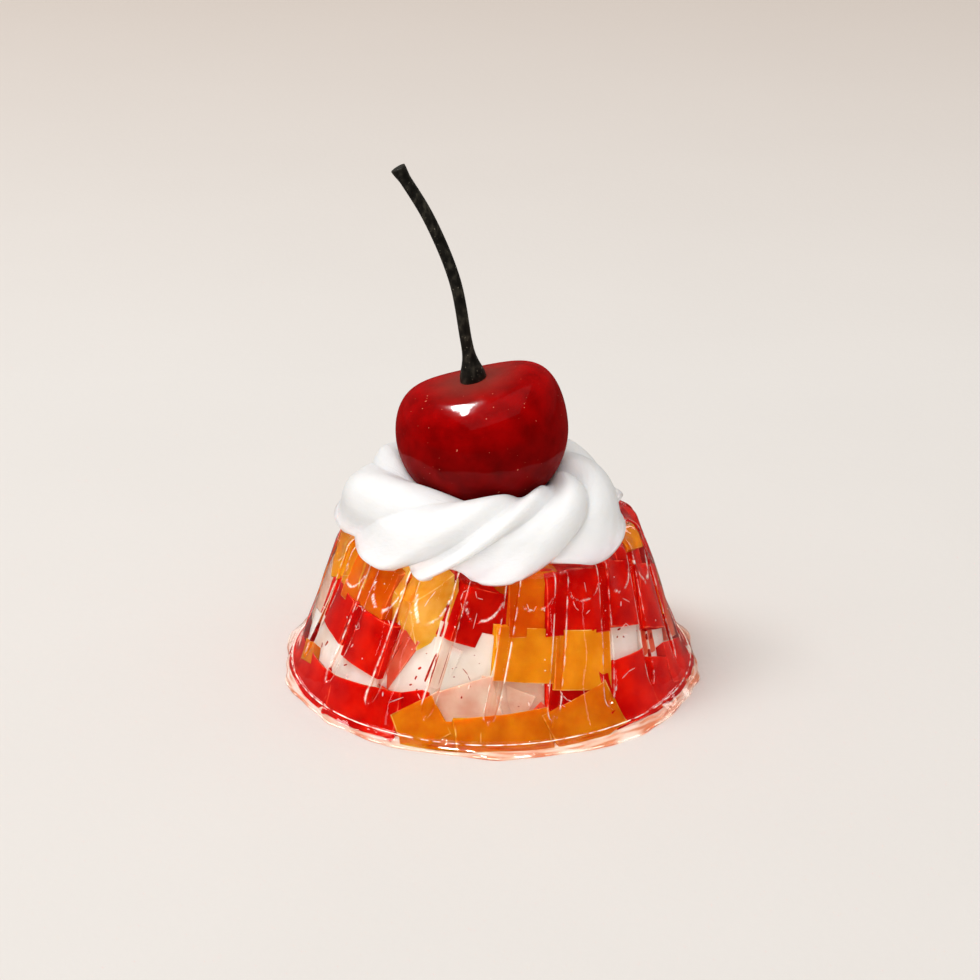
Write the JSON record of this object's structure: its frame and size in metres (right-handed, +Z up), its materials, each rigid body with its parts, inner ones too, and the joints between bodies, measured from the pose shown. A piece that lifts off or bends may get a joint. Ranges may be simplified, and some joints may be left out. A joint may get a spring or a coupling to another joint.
{
  "type": "moulded jelly",
  "caption": "Small clear fluted jelly set with red and amber jelly cubes, topped with a piped ring of whipped cream and a cherry on its stem.",
  "frame": {"origin": "centre of the jelly's flat base, on the surface it stands on", "axes": "+Z up through the jelly and the cherry, -Y to the front, +X to the right; the cherry's stem leans to -X"},
  "size_m": [0.0628, 0.0646, 0.0776],
  "materials": {
    "jelly": "clear wet jelly, glossy",
    "cubes_red": "cut red jelly, slightly cloudy",
    "cubes_amber": "cut amber jelly, slightly cloudy",
    "cream": "whipped cream, soft satin",
    "cherry_skin": "deep red cherry skin, very glossy",
    "cherry_stem": "dark green-brown woody stalk, satin"
  },
  "bodies": {
    "root": {"jelly_body": "jelly", "cream_swirl": "cream", "cherry": "cherry_skin", "cherry_stem": "cherry_stem"}
  },
  "joints": []
}
